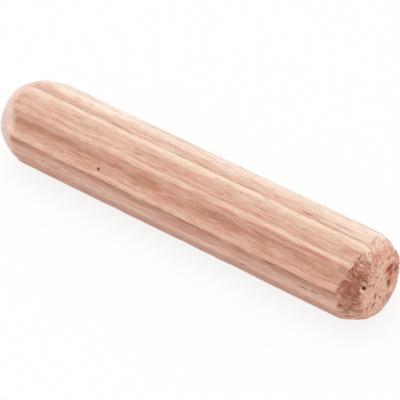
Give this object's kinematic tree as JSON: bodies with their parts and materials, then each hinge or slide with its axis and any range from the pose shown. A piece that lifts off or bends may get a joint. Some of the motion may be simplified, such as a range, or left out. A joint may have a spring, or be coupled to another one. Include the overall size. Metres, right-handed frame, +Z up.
{
  "type": "fluted wooden dowel pin",
  "caption": "Straight fluted wooden dowel pin with tapered ends, glued into matching holes to align and hold two wooden parts.",
  "frame": {"origin": "on the pin's axis, half-way between its two sawn faces, which is its centre of mass", "axes": "+X along the pin towards its rough torn end, +Z up with the pin lying on its two lowest ribs"},
  "size_m": [0.0394, 0.0081, 0.0081],
  "materials": {
    "beech": "bare pressed and sawn beech, unfinished, dull"
  },
  "bodies": {
    "root": {"dowel_pin": "beech"}
  },
  "joints": []
}
